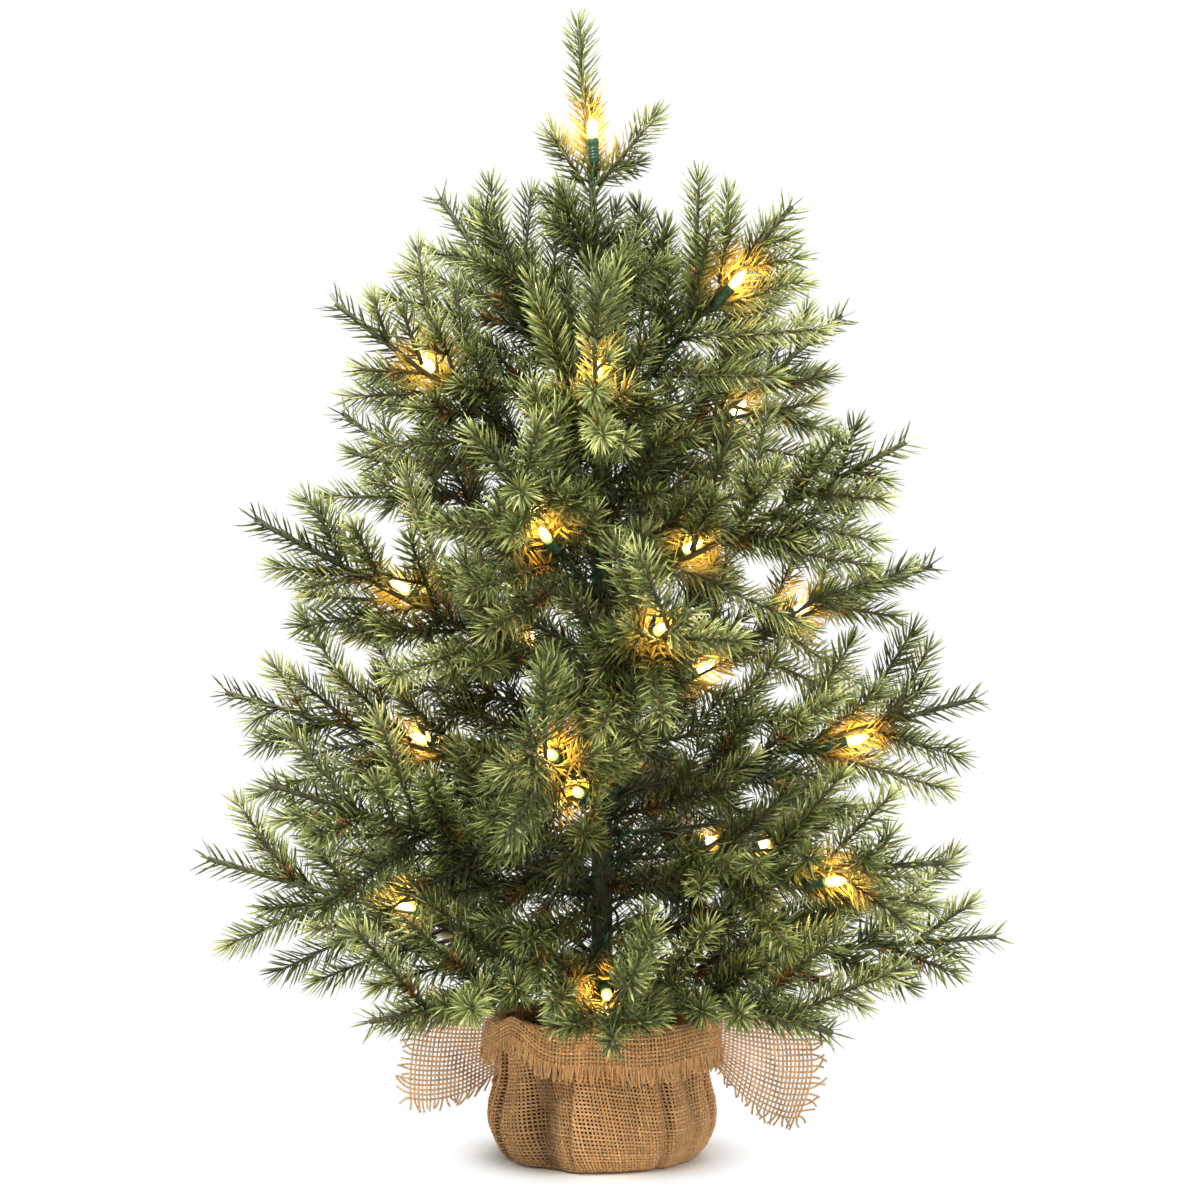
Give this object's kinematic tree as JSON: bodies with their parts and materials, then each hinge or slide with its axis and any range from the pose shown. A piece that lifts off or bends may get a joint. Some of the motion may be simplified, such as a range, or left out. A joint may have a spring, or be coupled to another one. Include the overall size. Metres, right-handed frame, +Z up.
{
  "type": "tabletop tree",
  "caption": "Artificial tabletop fir tree with wired branches, small warm lamps and a weighted base wrapped in burlap.",
  "frame": {"origin": "centre of the base on the surface that it stands on", "axes": "+Z up, -Y is the front, +X is to the right seen from the front"},
  "size_m": [0.4061, 0.3581, 0.6001],
  "materials": {
    "foliage": "moulded needles, satin",
    "trunk": "tape-wrapped steel",
    "tape": "wound tape",
    "lead": "satin",
    "lamp": "clear, lit",
    "burlap": "open jute weave",
    "twine": "twisted jute",
    "tub": "matte",
    "cement": "cast",
    "case": "fine-textured",
    "cell": "satin sleeve",
    "contact": "nickel"
  },
  "bodies": {
    "trunk": {"trunk_pole": "trunk", "trunk_bindings": "tape", "light_string": "lead", "base_tub": "tub", "ballast": "cement", "burlap_sack": "burlap", "burlap_cuff": "burlap", "burlap_ears": "burlap", "neck_tie": "twine", "battery_case": "case", "battery_cells": "cell", "battery_contacts": "contact"},
    "branch_01": {"branch_01": "foliage", "lamps_01": "lamp"},
    "branch_02": {"branch_02": "foliage"},
    "branch_03": {"branch_03": "foliage", "lamps_03": "lamp"},
    "branch_04": {"branch_04": "foliage"},
    "branch_05": {"branch_05": "foliage"},
    "branch_06": {"branch_06": "foliage"},
    "branch_07": {"branch_07": "foliage"},
    "branch_08": {"branch_08": "foliage", "lamps_08": "lamp"},
    "branch_09": {"branch_09": "foliage", "lamps_09": "lamp"},
    "branch_10": {"branch_10": "foliage", "lamps_10": "lamp"},
    "branch_11": {"branch_11": "foliage", "lamps_11": "lamp"},
    "branch_12": {"branch_12": "foliage", "lamps_12": "lamp"},
    "branch_13": {"branch_13": "foliage", "lamps_13": "lamp"},
    "branch_14": {"branch_14": "foliage", "lamps_14": "lamp"},
    "branch_15": {"branch_15": "foliage", "lamps_15": "lamp"},
    "branch_16": {"branch_16": "foliage", "lamps_16": "lamp"},
    "branch_17": {"branch_17": "foliage", "lamps_17": "lamp"},
    "branch_18": {"branch_18": "foliage"},
    "branch_19": {"branch_19": "foliage", "lamps_19": "lamp"},
    "branch_20": {"branch_20": "foliage", "lamps_20": "lamp"},
    "branch_21": {"branch_21": "foliage"},
    "branch_22": {"branch_22": "foliage", "lamps_22": "lamp"},
    "branch_23": {"branch_23": "foliage", "lamps_23": "lamp"},
    "branch_24": {"branch_24": "foliage", "lamps_24": "lamp"},
    "branch_25": {"branch_25": "foliage"},
    "branch_26": {"branch_26": "foliage", "lamps_26": "lamp"},
    "leader": {"leader": "foliage", "lamp_leader": "lamp"},
    "battery_cover": {"battery_cover": "case"},
    "switch_knob": {"switch_knob": "case"}
  },
  "joints": [
    {"name": "bend_01", "type": "hinge", "parent": "trunk", "child": "branch_01", "pos_m": [-0.00965, -0.00101, 0.098], "axis": [-0.1045, 0.9945, 0], "range_deg": [-8, 8]},
    {"name": "bend_02", "type": "hinge", "parent": "trunk", "child": "branch_02", "pos_m": [-0.00624, -0.00743, 0.092], "axis": [-0.766, 0.6428, 0], "range_deg": [-8, 12]},
    {"name": "bend_03", "type": "hinge", "parent": "trunk", "child": "branch_03", "pos_m": [0.00034, -0.00969, 0.091], "axis": [-0.9994, -0.0349, 0], "range_deg": [-8, 2]},
    {"name": "bend_04", "type": "hinge", "parent": "trunk", "child": "branch_04", "pos_m": [0.00636, -0.00732, 0.092], "axis": [-0.7547, -0.6561, 0], "range_deg": [-4, 12]},
    {"name": "bend_05", "type": "hinge", "parent": "trunk", "child": "branch_05", "pos_m": [0.00965, -0.00101, 0.098], "axis": [-0.1045, -0.9945, 0], "range_deg": [-8, 12]},
    {"name": "bend_06", "type": "hinge", "parent": "trunk", "child": "branch_06", "pos_m": [-0.00485, 0.0084, 0.14], "axis": [0.866, 0.5, 0], "range_deg": [-8, 12]},
    {"name": "bend_07", "type": "hinge", "parent": "trunk", "child": "branch_07", "pos_m": [-0.00732, -0.00636, 0.14], "axis": [-0.6561, 0.7547, 0], "range_deg": [-8, 6]},
    {"name": "bend_08", "type": "hinge", "parent": "trunk", "child": "branch_08", "pos_m": [0.00732, -0.00636, 0.14], "axis": [-0.6561, -0.7547, 0], "range_deg": [-8, 12]},
    {"name": "bend_09", "type": "hinge", "parent": "trunk", "child": "branch_09", "pos_m": [0.00674, 0.00698, 0.14], "axis": [0.7193, -0.6947, 0], "range_deg": [-8, 12]},
    {"name": "bend_10", "type": "hinge", "parent": "trunk", "child": "branch_10", "pos_m": [-0.00968, 0.00068, 0.188], "axis": [0.0698, 0.9976, 0], "range_deg": [-8, 10]},
    {"name": "bend_11", "type": "hinge", "parent": "trunk", "child": "branch_11", "pos_m": [-0.00185, -0.00952, 0.188], "axis": [-0.9816, 0.1908, 0], "range_deg": [-8, 12]},
    {"name": "bend_12", "type": "hinge", "parent": "trunk", "child": "branch_12", "pos_m": [0.00968, -0.00068, 0.188], "axis": [-0.0698, -0.9976, 0], "range_deg": [-8, 12]},
    {"name": "bend_13", "type": "hinge", "parent": "trunk", "child": "branch_13", "pos_m": [0.00101, 0.00965, 0.184], "axis": [0.9945, -0.1045, 0], "range_deg": [-8, 12]},
    {"name": "bend_14", "type": "hinge", "parent": "trunk", "child": "branch_14", "pos_m": [-0.00848, -0.0047, 0.24], "axis": [-0.4848, 0.8746, 0], "range_deg": [-8, 6]},
    {"name": "bend_15", "type": "hinge", "parent": "trunk", "child": "branch_15", "pos_m": [0.00235, -0.00941, 0.242], "axis": [-0.9703, -0.2419, 0], "range_deg": [-8, 12]},
    {"name": "bend_16", "type": "hinge", "parent": "trunk", "child": "branch_16", "pos_m": [0.00886, 0.00394, 0.24], "axis": [0.4067, -0.9135, 0], "range_deg": [-8, 12]},
    {"name": "bend_17", "type": "hinge", "parent": "trunk", "child": "branch_17", "pos_m": [-0.00455, 0.00856, 0.24], "axis": [0.8829, 0.4695, 0], "range_deg": [-8, 12]},
    {"name": "bend_18", "type": "hinge", "parent": "trunk", "child": "branch_18", "pos_m": [-0.00856, 0.00455, 0.292], "axis": [0.4695, 0.8829, 0], "range_deg": [-8, 12]},
    {"name": "bend_19", "type": "hinge", "parent": "trunk", "child": "branch_19", "pos_m": [-0.00332, -0.00911, 0.29], "axis": [-0.9397, 0.342, 0], "range_deg": [-8, 6]},
    {"name": "bend_20", "type": "hinge", "parent": "trunk", "child": "branch_20", "pos_m": [0.00911, -0.00332, 0.292], "axis": [-0.342, -0.9397, 0], "range_deg": [-8, 12]},
    {"name": "bend_21", "type": "hinge", "parent": "trunk", "child": "branch_21", "pos_m": [0.00363, 0.00899, 0.29], "axis": [0.9272, -0.3746, 0], "range_deg": [-8, 12]},
    {"name": "bend_22", "type": "hinge", "parent": "trunk", "child": "branch_22", "pos_m": [-0.00941, -0.00235, 0.344], "axis": [-0.2419, 0.9703, 0], "range_deg": [-8, 12]},
    {"name": "bend_23", "type": "hinge", "parent": "trunk", "child": "branch_23", "pos_m": [-0.00034, -0.00969, 0.34], "axis": [-0.9994, 0.0349, 0], "range_deg": [-6, 12]},
    {"name": "bend_24", "type": "hinge", "parent": "trunk", "child": "branch_24", "pos_m": [0.00886, 0.00394, 0.342], "axis": [0.4067, -0.9135, 0], "range_deg": [-8, 12]},
    {"name": "bend_25", "type": "hinge", "parent": "trunk", "child": "branch_25", "pos_m": [-0.00911, 0.00332, 0.388], "axis": [0.342, 0.9397, 0], "range_deg": [-8, 10]},
    {"name": "bend_26", "type": "hinge", "parent": "trunk", "child": "branch_26", "pos_m": [0.00923, -0.003, 0.39], "axis": [-0.309, -0.9511, 0], "range_deg": [-8, 12]},
    {"name": "leader_bend", "type": "hinge", "parent": "trunk", "child": "leader", "pos_m": [0, 0, 0.4325], "axis": [0, -1, 0], "range_deg": [-8, 8]},
    {"name": "cover_lift", "type": "slide", "parent": "trunk", "child": "battery_cover", "axis": [0, 0, 1], "range_m": [0, 0.012]},
    {"name": "switch_slide", "type": "slide", "parent": "trunk", "child": "switch_knob", "axis": [0, 1, 0], "range_m": [0, 0.004]}
  ]
}
